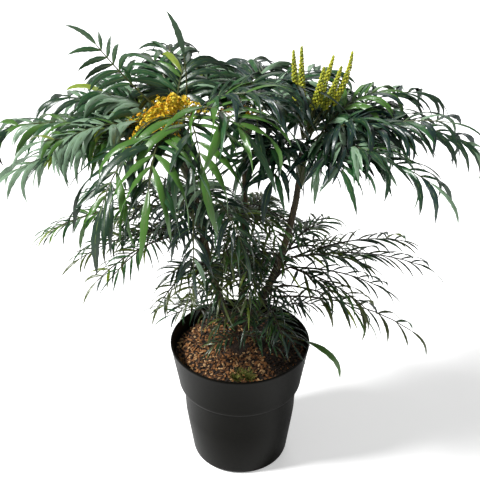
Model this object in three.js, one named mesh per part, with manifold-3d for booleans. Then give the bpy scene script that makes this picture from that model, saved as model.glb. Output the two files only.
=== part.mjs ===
// A potted mahonia in flower, one plant in a plain round nursery pot.
// Sizes are millimetres. X runs to the right of the plant, Y away from the viewer and Z up.
// The origin is the middle of the pot's flat underside.
import * as THREE from "three";
import { mergeVertices } from "three/addons/utils/BufferGeometryUtils.js";
import Module from "manifold-3d";

const wasm = await Module();
wasm.setup();

// Clearances between neighbours
const SEAT_GAP = 0.3;
const LEAF_ROOM = 0.7;

// Pot, an injection-moulded nursery pot with a deep collar
const POT_HEIGHT = 188;
const POT_RIM_RADIUS = 95.5;
const POT_WALL = 2.4;
const POT_FLOOR = 3;
const COLLAR_BOTTOM = 122;
const POT_FACETS = 28;

// Potting mix, heaped a little in the middle
const SOIL_TOP = 171.7;
const SOIL_EDGE = 168.4;
const SOIL_RADIUS = 89.4;

// Trunk, from its flat cut on the soil to its fork
const TRUNK_FOOT = 172;
const TRUNK_FORK = 205;
const TRUNK_SIDES = 12;

// Boughs, three stems with long leafless lower parts
const BOUGH_SIDES = 7;
const BOUGH_STEPS = 10;
const BOUGH_TIP_RADIUS = 4.2;

// Leaf stalks and leaves
const STALK_STEPS = 7;
const STALK_ROOT_RADIUS = 1.8;
const STALK_TIP_RADIUS = 1.0;
const SPUR_RADIUS = 2.3;
const SPUR_LENGTH = 19;
const TIP_SPUR_LENGTH = 9;
const SPIKE_SIDES = 5;
const LEAF_THINNESS = 1 / 72;
const LEAF_ROOT_WIDTH = 2.6;
const LEAF_STEPS = 9;
const LOWEST_DIVE = -80;

// Where a leaf bends: a step along its spine, and the share of its full width there
const ONE_BEND = [{ step: 4, fullness: 1 }];
const TWO_BENDS = [{ step: 2, fullness: 0.85 }, { step: 6, fullness: 0.85 }];

// Leaf sizes: length, width, lean off the stalk, bends, and the share of leaf pairs in the solid
const LEAVES = {
  broad: { length: 88, width: 16, lean: 60, share: 0.66, stations: TWO_BENDS },
  arching: { length: 68, width: 13, lean: 56, share: 0.5, stations: TWO_BENDS },
  long: { length: 64, width: 14, lean: 60, share: 0.5, stations: ONE_BEND },
  middle: { length: 50, width: 10.5, lean: 66, share: 0.5, stations: ONE_BEND },
  trailing: { length: 50, width: 7, lean: 46, share: 0.45, stations: ONE_BEND },
  fine: { length: 36, width: 8, lean: 62, share: 0.33, stations: ONE_BEND },
  small: { length: 30, width: 7.5, lean: 62, share: 0.4, stations: ONE_BEND },
  rising: { length: 44, width: 9, lean: 64, share: 0.85, stations: TWO_BENDS },
  straight: { length: 58, width: 12, lean: 66, share: 1, stations: TWO_BENDS },
  over_rim: { length: 92, width: 13, lean: 66, share: 1, stations: TWO_BENDS },
};

const radians = THREE.MathUtils.degToRad;
const point = (x, y, z) => new THREE.Vector3(x, y, z);
const DOWN = point(0, 0, -1);

// Repeatable scatter between -1 and 1 for a pair of whole numbers
function scatter(i, j) {
  const v = Math.sin(i * 127.1 + j * 311.7) * 43758.5453;
  return (v - Math.floor(v)) * 2 - 1;
}

// Unit direction from an azimuth, counted from +X towards +Y, and an elevation
function heading(azimuth, elevation) {
  const a = radians(azimuth);
  const e = radians(elevation);
  return point(Math.cos(e) * Math.cos(a), Math.cos(e) * Math.sin(a), Math.sin(e));
}

// A direction turned towards straight down, never quite reaching it
function turnDown(direction, angle) {
  const cosine = THREE.MathUtils.clamp(direction.dot(DOWN), -1, 1);
  const whole = Math.acos(cosine);
  if (whole < 1e-4) {
    return direction.clone();
  }
  const side = DOWN.clone().addScaledVector(direction, -cosine).normalize();
  const turn = Math.min(angle, 0.97 * whole);
  return direction.clone().multiplyScalar(Math.cos(turn)).addScaledVector(side, Math.sin(turn));
}

// A closed solid through rings of points, capped flat, or drawn to a point at the far end
function skin(rings, apex) {
  const sides = rings[0].length;
  const points = rings.flat();
  const faces = [];
  const last = (rings.length - 1) * sides;
  for (let r = 0; r < rings.length - 1; r += 1) {
    for (let k = 0; k < sides; k += 1) {
      const a = r * sides + k;
      const b = r * sides + ((k + 1) % sides);
      faces.push(a, b, b + sides, a, b + sides, a + sides);
    }
  }
  for (let k = 1; k < sides - 1; k += 1) {
    faces.push(0, k + 1, k);
    if (!apex) {
      faces.push(last, last + k, last + k + 1);
    }
  }
  if (apex) {
    points.push(apex);
    for (let k = 0; k < sides; k += 1) {
      faces.push(last + k, last + ((k + 1) % sides), points.length - 1);
    }
  }
  const vertProperties = new Float32Array(points.flatMap((p) => p.toArray()));
  const triVerts = new Uint32Array(faces);
  return new wasm.Manifold(new wasm.Mesh({ numProp: 3, vertProperties, triVerts }));
}

// A ring of points about a centre, in the plane square to a direction
function ring(centre, along, sideways, radius, sides, start = 0) {
  const u = sideways.clone();
  const v = along.clone().cross(u).normalize();
  return Array.from({ length: sides }, (_, k) => {
    const a = start + (2 * Math.PI * k) / sides;
    return centre
      .clone()
      .addScaledVector(u, radius * Math.cos(a))
      .addScaledVector(v, radius * Math.sin(a));
  });
}

// A turned piece as a solid, from its profile of radius and height
function turned(profile) {
  const outline = profile.map(([r, z]) => new THREE.Vector2(r, z));
  const lathe = new THREE.LatheGeometry(outline, POT_FACETS).rotateX(Math.PI / 2);
  lathe.deleteAttribute("normal");
  lathe.deleteAttribute("uv");
  const closed = mergeVertices(lathe, 1e-3);
  const vertProperties = closed.getAttribute("position").array;
  const triVerts = new Uint32Array(closed.index.array);
  return new wasm.Manifold(new wasm.Mesh({ numProp: 3, vertProperties, triVerts }));
}

// Pot: outside from the underside up, over the rim, and down the inside to the floor
const potOutside = [
  [63.4, 0],
  [66.4, 1.6],
  [68, 6],
  [74.7, 56],
  [77, 75],
  [79, COLLAR_BOTTOM - 4],
  [83.6, COLLAR_BOTTOM - 1],
  [85.2, COLLAR_BOTTOM + 1.6],
  [86, COLLAR_BOTTOM + 6],
  [POT_RIM_RADIUS - 0.3, POT_HEIGHT - 2.4],
  [POT_RIM_RADIUS, POT_HEIGHT - 1],
  [POT_RIM_RADIUS - 0.7, POT_HEIGHT],
];
const potInside = [
  [POT_RIM_RADIUS - 2.2, POT_HEIGHT],
  [POT_RIM_RADIUS - 2.9, POT_HEIGHT - 1.2],
  [86 - POT_WALL, COLLAR_BOTTOM + 6.4],
  [83.6 - POT_WALL, COLLAR_BOTTOM + 1.6],
  [79 - POT_WALL, COLLAR_BOTTOM - 1.6],
  [77 - POT_WALL, 75],
  [74.7 - POT_WALL, 56],
  [68.3 - POT_WALL, 8],
  [64.4 - POT_WALL, POT_FLOOR],
];

// Potting mix: the inside of the pot drawn in by the seat gap, then the heaped surface
const soilSides = potInside
  .filter(([, z]) => z < SOIL_EDGE)
  .map(([r, z]) => [r - SEAT_GAP - 0.05, z + SEAT_GAP])
  .reverse();
const soilSurface = [
  [SOIL_RADIUS, SOIL_EDGE],
  [78, SOIL_TOP - 1.8],
  [46, SOIL_TOP - 0.5],
  [18, SOIL_TOP],
];

// Trunk: an oval foot flaring onto the soil, and a slightly swollen fork
const TRUNK_STATIONS = [
  { z: TRUNK_FOOT, x: -1, y: 2, rx: 15, ry: 13.5 },
  { z: 175, x: -0.8, y: 2, rx: 12.4, ry: 11.4 },
  { z: 180, x: -0.5, y: 2.2, rx: 10.6, ry: 10 },
  { z: 190, x: 0, y: 2.5, rx: 10.2, ry: 9.6 },
  { z: 199, x: 0, y: 2.6, rx: 11.2, ry: 10.6 },
  { z: TRUNK_FORK, x: 0, y: 2.7, rx: 12.4, ry: 11.6 },
];
function makeTrunk(room) {
  const rings = TRUNK_STATIONS.map(({ z, x, y, rx, ry }, level) =>
    Array.from({ length: TRUNK_SIDES }, (_, k) => {
      const a = (2 * Math.PI * k) / TRUNK_SIDES;
      const ripple = 1 + 0.05 * scatter(k, level > 2 ? 7 : 3);
      const wide = rx * ripple + room;
      const deep = ry * ripple + room;
      return point(x + wide * Math.cos(a), y + deep * Math.sin(a), z);
    }),
  );
  return skin(rings);
}

// Boughs: each a single tapering stem along a cubic curve
const BOUGHS = {
  left: { points: [[-6.2, -1, 205], [-42, -6, 275], [-48, -24, 400], [-74, -34, 530]], radius: 5.4 },
  right: { points: [[6.2, -1, 205], [34, 0, 260], [72, 2, 340], [76, 0, 478]], radius: 5.4 },
  back: { points: [[0, 9, 205], [6, 28, 290], [4, 58, 380], [10, 62, 495]], radius: 4.9 },
};
for (const bough of Object.values(BOUGHS)) {
  bough.curve = new THREE.CubicBezierCurve3(...bough.points.map((p) => point(...p)));
}
const boughRadius = (bough, t) => THREE.MathUtils.lerp(bough.radius, BOUGH_TIP_RADIUS, t);

// A bough's solid, grown by some room, with a short rounded end and a level cut on the fork
function makeBough(bough, room) {
  const rings = [];
  for (let k = 0; k <= BOUGH_STEPS; k += 1) {
    const t = k / BOUGH_STEPS;
    const along = bough.curve.getTangent(t);
    const sideways = point(0, 1, 0).addScaledVector(along, -along.y).normalize();
    const centre = bough.curve.getPoint(t);
    if (k === 0) {
      const below = centre.clone().addScaledVector(along, -9);
      rings.push(ring(below, along, sideways, boughRadius(bough, 0) + room, BOUGH_SIDES));
    }
    rings.push(ring(centre, along, sideways, boughRadius(bough, t) + room, BOUGH_SIDES));
    if (k === BOUGH_STEPS) {
      const above = centre.clone().addScaledVector(along, 1.6 + room);
      rings.push(ring(above, along, sideways, 0.6 * BOUGH_TIP_RADIUS + room, BOUGH_SIDES));
    }
  }
  return skin(rings).trimByPlane([0, 0, 1], TRUNK_FORK + SEAT_GAP - room);
}

// A stalk's line: it leaves at a rise and droops more and more towards its tip
function stalkLine({ base, azimuth, rise, length, droop, roll }) {
  const points = [base.clone()];
  const tangents = [];
  for (let k = 0; k < STALK_STEPS; k += 1) {
    const s = (k + 0.5) / STALK_STEPS;
    const d = heading(azimuth, Math.max(rise - droop * s ** 1.25, LOWEST_DIVE));
    tangents.push(d);
    points.push(points[k].clone().addScaledVector(d, length / STALK_STEPS));
  }
  return { points, tangents, length, flat: heading(azimuth - 90, 0), roll };
}

// A station on a stalk: its place, its direction, and the sides square to it
function station(line, s) {
  const x = THREE.MathUtils.clamp(s, 0, 1) * STALK_STEPS;
  const i = Math.min(Math.floor(x), STALK_STEPS - 1);
  const at = line.points[i].clone().lerp(line.points[i + 1], x - i);
  const tangent = line.tangents[i];
  const face = line.flat.clone().cross(tangent).normalize();
  const side = line.flat
    .clone()
    .multiplyScalar(Math.cos(line.roll))
    .addScaledVector(face, Math.sin(line.roll));
  return { s, at, tangent, side, under: tangent.clone().cross(side).normalize() };
}

// The three edges of a stalk at a station: right, lower and left
function stalkRing({ s, at, side, under }, room = 0) {
  const r = THREE.MathUtils.lerp(STALK_ROOT_RADIUS, STALK_TIP_RADIUS, s) + room;
  return [
    at.clone().addScaledVector(side, 0.866 * r).addScaledVector(under, -0.5 * r),
    at.clone().addScaledVector(under, r),
    at.clone().addScaledVector(side, -0.866 * r).addScaledVector(under, -0.5 * r),
  ];
}

// The places along a frond where its leaves sit: pairs, then one leaf at the tip
function leafStations({ pairs, petiole }) {
  const along = (i) => petiole + ((1 - petiole) * (i + 0.35)) / (pairs + 0.2);
  return [...Array.from({ length: pairs }, (_, i) => along(i)), 1];
}

// One leaf's line, sizes and sections. hand is -1 on the left, 1 on the right and 0 at the tip.
function planLeaf(frond, line, i, hand) {
  const { pairs, leaf, hang, seed } = frond;
  const { s, at, tangent, side, under } = station(line, leafStations(frond)[i]);
  const j = scatter(seed * 7 + i, hand + 3);
  const k = scatter(seed * 5 + i, hand + 9);
  const swell = 0.72 + 0.34 * Math.sin((Math.PI * (i + 1.2)) / (pairs + 1.6));
  const forward = radians(leaf.lean - 24 * s + 17 * k);
  const direction = tangent.clone();
  const across = side.clone();
  if (hand !== 0) {
    direction
      .multiplyScalar(Math.cos(forward))
      .addScaledVector(side, hand * Math.sin(forward))
      .addScaledVector(under, -0.3)
      .normalize();
    across.copy(tangent);
  }
  across.addScaledVector(direction, -across.dot(direction)).normalize();
  const length = hand === 0 ? 0.95 * leaf.length : leaf.length * swell * (1 + 0.15 * j);
  const width = leaf.width * (0.85 + 0.15 * k);
  const bow = radians(hand === 0 ? 0.7 * hang : hang * (1 + 0.35 * j));
  const spine = [at.clone()];
  const ways = [];
  for (let n = 0; n < LEAF_STEPS; n += 1) {
    const d = turnDown(direction, bow * ((n + 0.5) / LEAF_STEPS) ** 1.25);
    ways.push(d);
    spine.push(spine[n].clone().addScaledVector(d, length / LEAF_STEPS));
  }
  return { spine, ways, across, length, width, hand, tip: spine[LEAF_STEPS] };
}

// A leaf's section: two edges and a keel below, in the order of the stalk edges it grows from
function leafSection({ spine, ways, across, length, width, hand }, { step, fullness }, room = 0) {
  const d = ways[step];
  const w = across.clone().addScaledVector(d, -across.dot(d)).normalize();
  const below = d.clone().cross(w).multiplyScalar(hand > 0 ? -1 : 1);
  const half = (fullness * width) / 2 + room;
  const centre = spine[step].clone().addScaledVector(below, -room);
  const front = centre.clone().addScaledVector(w, half);
  const back = centre.clone().addScaledVector(w, -half);
  const keel = spine[step].clone().addScaledVector(below, Math.max(0.9, length * LEAF_THINNESS) + room);
  if (hand > 0) {
    return [back, keel, front];
  }
  return hand < 0 ? [keel, back, front] : [front, keel, back];
}

// A leaf by itself, used to see whether there is space for it
function loneLeaf(plan, stations) {
  const root = { step: 0, fullness: 0.2 };
  const rings = [root, ...stations].map((at) => leafSection(plan, at));
  rings[0] = rings[0].map((p) => p.addScaledVector(plan.ways[0], 2));
  return skin(rings, plan.tip);
}

// The part of a leaf beyond its first bend
function leafEnd(plan, stations) {
  return skin(stations.map((at) => leafSection(plan, at)), plan.tip);
}

// A whole frond as one solid: its stalk, with a leaf drawn out of the stalk at each place kept
function makeFrond(frond, line, kept) {
  const points = [];
  const faces = [];
  const addRing = (ring) => {
    points.push(...ring);
    return [points.length - 3, points.length - 2, points.length - 1];
  };
  const addFace = (a, b, c) => faces.push(a, b, c);
  // Each side between two rings is split along the diagonal that bulges outwards
  const join = (from, to) => {
    for (let k = 0; k < 3; k += 1) {
      const n = (k + 1) % 3;
      const [a, b, c, d] = [from[k], from[n], to[n], to[k]].map((i) => points[i].clone());
      const outward = b.sub(a).cross(c.sub(a));
      if (outward.dot(d.sub(a)) > 0) {
        addFace(from[k], from[n], to[k]);
        addFace(from[n], to[n], to[k]);
      } else {
        addFace(from[k], from[n], to[n]);
        addFace(from[k], to[n], to[k]);
      }
    }
  };
  const drawLeaf = (plan, root) => {
    let ring = root;
    for (const at of frond.leaf.stations) {
      const next = addRing(leafSection(plan, at));
      join(ring, next);
      ring = next;
    }
    points.push(plan.tip);
    for (let k = 0; k < 3; k += 1) {
      addFace(ring[k], ring[(k + 1) % 3], points.length - 1);
    }
  };
  let ring = addRing(stalkRing(station(line, 0)));
  addFace(ring[0], ring[2], ring[1]);
  const half = LEAF_ROOT_WIDTH / 2 / line.length;
  leafStations(frond).forEach((s, i, all) => {
    const last = i === all.length - 1;
    if (last) {
      const tip = addRing(stalkRing(station(line, 1)));
      join(ring, tip);
      const plan = kept.get(i + ":0");
      if (plan) {
        drawLeaf(plan, tip);
      } else {
        addFace(tip[0], tip[1], tip[2]);
      }
      return;
    }
    const near = addRing(stalkRing(station(line, s - half)));
    join(ring, near);
    const far = addRing(stalkRing(station(line, s + half)));
    const [rightNear, lowerNear, leftNear] = near;
    const [rightFar, lowerFar, leftFar] = far;
    addFace(leftNear, rightNear, rightFar);
    addFace(leftNear, rightFar, leftFar);
    addFace(rightNear, lowerNear, lowerFar);
    addFace(lowerNear, leftFar, lowerFar);
    const right = kept.get(i + ":1");
    if (right) {
      drawLeaf(right, [rightNear, lowerFar, rightFar]);
    } else {
      addFace(rightNear, lowerFar, rightFar);
    }
    const left = kept.get(i + ":-1");
    if (left) {
      drawLeaf(left, [lowerNear, leftNear, leftFar]);
    } else {
      addFace(lowerNear, leftNear, leftFar);
    }
    ring = far;
  });
  const vertProperties = new Float32Array(points.flatMap((p) => p.toArray()));
  return new wasm.Manifold(new wasm.Mesh({ numProp: 3, vertProperties, triVerts: new Uint32Array(faces) }));
}

// One flower spike: a thin stalk, then a plump tapering spindle
const SPIKE_SHAPE = [[0, 0.35], [0.18, 0.95], [0.5, 0.8], [0.82, 0.5]];
function makeSpike({ base, azimuth, rise, length, radius, sag }) {
  const line = stalkLine({ base, azimuth, rise, length, droop: sag, roll: 0 });
  const rings = SPIKE_SHAPE.map(([s, fullness]) => {
    const { at, tangent, side } = station(line, s);
    return ring(at, tangent, side, fullness * radius, SPIKE_SIDES);
  });
  return skin(rings, line.points[STALK_STEPS]);
}

// Masses of leaves: where each stands on its bough, which way it spreads and how it droops.
// at: place along the bough; toward: azimuth; fan: spread of its fronds; step: rise up and down.
const MASSES = [
  { name: "left_blossom", seed: 400, on: "left", at: 1, toward: 210, lean: 62, spikes: "open" },
  { name: "right_racemes", seed: 410, on: "right", at: 1, toward: 150, lean: 88, spikes: "candle" },
  { name: "left_front", seed: 20, on: "left", at: 0.96, toward: 252, fan: 24, count: 2,
    rise: 24, step: 10, length: 140, droop: 80, leaf: "broad", pairs: 6, hang: 84,
    petiole: 0.4 },
  { name: "left_front_east", seed: 30, on: "left", at: 0.985, toward: 300, fan: 36, count: 2,
    rise: 38, step: 8, length: 110, droop: 84, leaf: "broad", pairs: 6, hang: 84,
    petiole: 0.26 },
  { name: "left_west", seed: 0, on: "left", at: 0.9, toward: 187, fan: 44, count: 3,
    rise: 19, step: 3, length: 180, droop: 34, leaf: "arching", pairs: 8, hang: 98 },
  { name: "left_west_low", seed: 10, on: "left", at: 0.85, toward: 201, fan: 20, count: 2,
    rise: 27, step: 7, length: 150, droop: 32, leaf: "middle", pairs: 8, hang: 98 },
  { name: "left_north_west", seed: 70, on: "left", at: 0.945, toward: 148, fan: 24, count: 2,
    rise: 19, step: 6, length: 138, droop: 34, leaf: "arching", pairs: 8, hang: 98 },
  { name: "left_west_high", seed: 370, on: "left", at: 0.93, toward: 194, fan: 26, count: 2,
    rise: 27, step: 6, length: 130, droop: 56, leaf: "long", pairs: 7, hang: 98,
    petiole: 0.4 },
  { name: "left_rising", seed: 80, on: "left", at: 0.98, toward: 166, fan: 0, count: 1,
    rise: 40, step: 0, length: 104, droop: -10, leaf: "rising", pairs: 6, hang: 50,
    petiole: 0.42, roll: 90 },
  { name: "left_top", seed: 90, on: "left", at: 0.99, toward: 10, fan: 0, count: 1,
    rise: 86, step: 0, length: 64, droop: -14, leaf: "straight", pairs: 0, hang: 28,
    petiole: 0.6, roll: 90 },
  { name: "left_back", seed: 60, on: "left", at: 0.97, toward: 100, fan: 60, count: 3,
    rise: 40, step: 8, length: 128, droop: 60, leaf: "long", pairs: 7, hang: 84 },
  { name: "left_east", seed: 50, on: "left", at: 0.95, toward: 350, fan: 30, count: 2,
    rise: 60, step: 0, length: 120, droop: 80, leaf: "long", pairs: 7, hang: 88 },
  { name: "left_front_low", seed: 40, on: "left", at: 0.78, toward: 286, fan: 30, count: 2,
    rise: 10, step: 6, length: 130, droop: 64, leaf: "middle", pairs: 8, hang: 86 },
  { name: "right_east_high", seed: 100, on: "right", at: 0.99, toward: 11, fan: 34, count: 2,
    rise: 34, step: 4, length: 186, droop: 58, leaf: "arching", pairs: 8, hang: 98 },
  { name: "right_east", seed: 110, on: "right", at: 0.945, toward: -11, fan: 34, count: 3,
    rise: 33, step: 7, length: 160, droop: 46, leaf: "arching", pairs: 7, hang: 98 },
  { name: "right_east_low", seed: 120, on: "right", at: 0.915, toward: -8, fan: 36, count: 2,
    rise: 40, step: 6, length: 86, droop: 36, leaf: "long", pairs: 4, hang: 80 },
  { name: "right_front", seed: 130, on: "right", at: 0.98, toward: 305, fan: 34, count: 2,
    rise: 38, step: 8, length: 84, droop: 62, leaf: "long", pairs: 8, hang: 84 },
  { name: "right_front_west", seed: 140, on: "right", at: 0.96, toward: 228, fan: 44, count: 3,
    rise: 32, step: 8, length: 80, droop: 44, leaf: "long", pairs: 5, hang: 80 },
  { name: "right_back", seed: 150, on: "right", at: 0.965, toward: 65, fan: 60, count: 3,
    rise: 34, step: 8, length: 150, droop: 70, leaf: "long", pairs: 7, hang: 88 },
  { name: "back_back", seed: 160, on: "back", at: 0.97, toward: 90, fan: 70, count: 3,
    rise: 28, step: 8, length: 150, droop: 65, leaf: "long", pairs: 7, hang: 86 },
  { name: "back_west", seed: 170, on: "back", at: 0.975, toward: 165, fan: 50, count: 2,
    rise: 38, step: 0, length: 130, droop: 60, leaf: "long", pairs: 7, hang: 86 },
  { name: "back_east", seed: 180, on: "back", at: 0.975, toward: 15, fan: 50, count: 2,
    rise: 38, step: 0, length: 120, droop: 60, leaf: "long", pairs: 7, hang: 86 },
  { name: "back_front", seed: 190, on: "back", at: 1, toward: 298, fan: 54, count: 2,
    rise: 52, step: 8, length: 92, droop: 62, leaf: "broad", pairs: 4, hang: 82 },
  { name: "right_low_east", seed: 200, on: "right", at: 0.51, toward: 3, fan: 16, count: 2,
    rise: 13, step: 4, length: 156, droop: 34, leaf: "trailing", pairs: 10, hang: 70 },
  { name: "right_low_front", seed: 210, on: "right", at: 0.47, toward: -14, fan: 14, count: 2,
    rise: 4, step: 5, length: 118, droop: 32, leaf: "trailing", pairs: 6, hang: 70 },
  { name: "right_low_mid", seed: 350, on: "right", at: 0.36, toward: -20, fan: 0, count: 1,
    rise: 8, step: 0, length: 112, droop: 46, leaf: "trailing", pairs: 4, hang: 76 },
  { name: "right_low_back", seed: 220, on: "right", at: 0.52, toward: 50, fan: 60, count: 3,
    rise: 20, step: 6, length: 120, droop: 64, leaf: "fine", pairs: 6, hang: 66 },
  { name: "right_low_west", seed: 230, on: "right", at: 0.56, toward: 215, fan: 60, count: 3,
    rise: 8, step: 6, length: 84, droop: 50, leaf: "small", pairs: 8, hang: 66 },
  { name: "left_low_west", seed: 240, on: "left", at: 0.66, toward: 196, fan: 18, count: 2,
    rise: 18, step: 6, length: 180, droop: 40, leaf: "fine", pairs: 12, hang: 72 },
  { name: "left_low_front", seed: 250, on: "left", at: 0.56, toward: 214, fan: 52, count: 4,
    rise: 20, step: 6, length: 140, droop: 46, leaf: "fine", pairs: 11, hang: 66 },
  { name: "left_low_east", seed: 260, on: "left", at: 0.62, toward: 320, fan: 60, count: 3,
    rise: 26, step: 6, length: 90, droop: 50, leaf: "fine", pairs: 9, hang: 62 },
  { name: "left_low_back", seed: 270, on: "left", at: 0.6, toward: 125, fan: 60, count: 3,
    rise: 18, step: 6, length: 120, droop: 50, leaf: "fine", pairs: 10, hang: 70 },
  { name: "middle_front", seed: 280, on: "back", at: 0.45, toward: 276, fan: 56, count: 3,
    rise: 34, step: 6, length: 90, droop: 60, leaf: "fine", pairs: 9, hang: 60 },
  { name: "middle_high", seed: 290, on: "back", at: 0.62, toward: 296, fan: 90, count: 3,
    rise: 10, step: 6, length: 70, droop: 60, leaf: "fine", pairs: 8, hang: 62 },
  { name: "middle_back", seed: 300, on: "back", at: 0.5, toward: 90, fan: 120, count: 4,
    rise: 8, step: 6, length: 96, droop: 50, leaf: "fine", pairs: 9, hang: 70 },
  { name: "right_ruff", seed: 440, on: "right", at: 0.985, toward: 192, fan: 130, count: 3,
    rise: 50, step: 8, length: 44, droop: 44, leaf: "long", pairs: 3, hang: 84 },
  { name: "back_low", seed: 360, on: "back", at: 0.22, toward: 95, fan: 230, count: 5,
    rise: 8, step: 6, length: 96, droop: 44, leaf: "fine", pairs: 9, hang: 66 },
  { name: "foot_east", seed: 310, on: "right", at: 0.27, toward: -13, fan: 0, count: 1,
    rise: 13, step: 0, length: 196, droop: 42, leaf: "middle", pairs: 6, hang: 96 },
  { name: "foot_rim", seed: 320, on: "trunk", at: 0.75, toward: -17, fan: 0, count: 1,
    rise: 8, step: 0, length: 80, droop: 22, leaf: "over_rim", pairs: 0, hang: 150, petiole: 0.7 },
  { name: "foot_west", seed: 330, on: "trunk", at: 0.5, toward: 192, fan: 30, count: 2,
    rise: 58, step: 6, length: 120, droop: 74, leaf: "fine", pairs: 8, hang: 62 },
  { name: "left_low_mid", seed: 380, on: "left", at: 0.44, toward: 258, fan: 60, count: 3,
    rise: 14, step: 6, length: 84, droop: 50, leaf: "fine", pairs: 8, hang: 60 },
  { name: "right_low_hub", seed: 390, on: "right", at: 0.3, toward: 255, fan: 70, count: 3,
    rise: 20, step: 6, length: 74, droop: 50, leaf: "fine", pairs: 7, hang: 60 },
  { name: "middle_low", seed: 420, on: "back", at: 0.3, toward: 272, fan: 80, count: 3,
    rise: 16, step: 6, length: 80, droop: 50, leaf: "fine", pairs: 8, hang: 58 },
  { name: "foot_right", seed: 430, on: "right", at: 0.12, toward: -30, fan: 50, count: 2,
    rise: 30, step: 6, length: 74, droop: 50, leaf: "fine", pairs: 8, hang: 60 },
  { name: "foot_front", seed: 340, on: "trunk", at: 0.75, toward: 275, fan: 120, count: 2,
    rise: 24, step: 0, length: 50, droop: 55, leaf: "small", pairs: 6, hang: 70 },
];

// Flower spikes: open flowers hang round the left tip, budded candles stand on the right one
const SPIKES = {
  open: [
    [66, 200, 8], [72, 216, -4], [82, 234, 10], [84, 250, 8], [80, 266, 24], [76, 282, 8],
    [48, 136, 24],
  ].map(([length, azimuth, rise]) => ({ length, azimuth, rise, radius: 6.5, sag: 50 })),
  candle: [
    [112, 180, 79], [110, 100, 75], [106, 24, 66], [96, -20, 73], [100, 6, 61], [118, 18, 54],
  ].map(([length, azimuth, rise]) => ({ length, azimuth, rise, radius: 5, sag: -8 })),
};

// What has been placed so far, so that each mass keeps to its own space
const placed = [];
function place(solid, owner, frond) {
  placed.push({ solid, owner, frond, box: solid.boundingBox() });
}
function boxesMeet(a, b, room) {
  return [0, 1, 2].every((k) => a.min[k] - room < b.max[k] && b.min[k] - room < a.max[k]);
}
const tooClose = (a, b) => a.minGap(b, LEAF_ROOM) < LEAF_ROOM;
function isClear(solid, mayTouch) {
  const box = solid.boundingBox();
  return !placed.some(
    (other) => !mayTouch(other) && boxesMeet(box, other.box, LEAF_ROOM) && tooClose(solid, other.solid),
  );
}

// The largest body of a solid, without loose scraps and sealed hollows
function oneBody(solid) {
  const bodies = solid.decompose().filter((b) => b.volume() > 0);
  return bodies.sort((a, b) => b.volume() - a.volume())[0];
}

// A mass's spur and the stalks of its fronds, each clear of everything placed before
function growStalks(mass) {
  const stem = BOUGHS[mass.on];
  const foot = stem
    ? stem.curve.getPoint(mass.at)
    : point(0, 2.4, THREE.MathUtils.lerp(TRUNK_FOOT, TRUNK_FORK, mass.at));
  const out = heading(mass.toward, mass.lean ?? mass.rise * 0.5 + 10);
  const base = foot.clone().addScaledVector(out, mass.spikes ? TIP_SPUR_LENGTH : SPUR_LENGTH);
  const across = heading(mass.toward - 90, 0);
  const spurEnd = base.clone().addScaledVector(out, 1.5);
  const rod = skin([foot, spurEnd].map((p) => ring(p, out, across, SPUR_RADIUS, 6)));
  const spur = oneBody(rod.subtract(stem ? makeBough(stem, SEAT_GAP) : makeTrunk(SEAT_GAP)));
  place(spur, mass.name);
  const fronds = [];
  for (let k = 0; k < (mass.count ?? 0); k += 1) {
    const share = mass.count === 1 ? 0 : k / (mass.count - 1) - 0.5;
    const seed = mass.seed + k + 1;
    const upOrDown = mass.count > 1 ? (k % 2) * 2 - 1 : 0;
    const leaf = LEAVES[mass.leaf];
    const frond = {
      base,
      azimuth: mass.toward + mass.fan * share + 4 * scatter(seed, 1),
      rise: mass.rise + mass.step * upOrDown + 5 * scatter(seed, 2),
      length: mass.length * (1 + 0.08 * scatter(seed, 3)),
      droop: mass.droop,
      pairs: Math.round(mass.pairs * leaf.share),
      leaf,
      hang: mass.hang,
      seed,
      petiole: mass.petiole ?? 0.22,
      roll: radians(mass.roll ?? 0),
    };
    const line = stalkLine(frond);
    const stalk = makeFrond(frond, line, new Map());
    if (isClear(stalk, (o) => o.owner === mass.name)) {
      place(stalk, mass.name, k);
      fronds.push({ frond, line, stalk, k });
    }
  }
  return { mass, base, pieces: [spur], fronds };
}

// The flower spikes of a mass, each where there is room for it
function growSpikes({ mass, base, pieces }) {
  for (const spike of SPIKES[mass.spikes] ?? []) {
    const solid = makeSpike({ ...spike, base });
    if (isClear(solid, (o) => o.owner === mass.name)) {
      pieces.push(solid);
      place(solid, mass.name);
    }
  }
}

// The leaves of a mass, left out where they would touch a limb, a stalk or another leaf
function growLeaves({ mass, pieces, fronds }) {
  for (const { frond, line, stalk, k } of fronds) {
    const kept = new Map();
    const own = [];
    const sameFrond = (o) => o.owner === mass.name && o.frond === k;
    for (let i = 0; i <= frond.pairs; i += 1) {
      for (const hand of i === frond.pairs ? [0] : [-1, 1]) {
        const plan = planLeaf(frond, line, i, hand);
        const blade = loneLeaf(plan, frond.leaf.stations);
        const end = leafEnd(plan, frond.leaf.stations);
        const crowded = own.some((o) => (o.i === i ? tooClose(o.end, end) : tooClose(o.blade, blade)));
        if (!crowded && !tooClose(end, stalk) && isClear(blade, sameFrond)) {
          kept.set(i + ":" + hand, plan);
          own.push({ i, blade, end });
          place(blade, mass.name, k);
        }
      }
    }
    pieces.push(makeFrond(frond, line, kept));
  }
}

// Finishes
const FINISH = {
  pot: new THREE.MeshStandardMaterial({ color: 0x2b2b29, roughness: 0.5, metalness: 0 }),
  soil: new THREE.MeshStandardMaterial({ color: 0x6b4a2c, roughness: 1, metalness: 0 }),
  bark: new THREE.MeshStandardMaterial({ color: 0x7a6a4c, roughness: 0.9, metalness: 0 }),
  leaf: new THREE.MeshStandardMaterial({ color: 0x2f5138, roughness: 0.45, metalness: 0 }),
  open: new THREE.MeshStandardMaterial({ color: 0xd79a12, roughness: 0.7, metalness: 0 }),
  candle: new THREE.MeshStandardMaterial({ color: 0xb5b23a, roughness: 0.7, metalness: 0 }),
};

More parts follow.
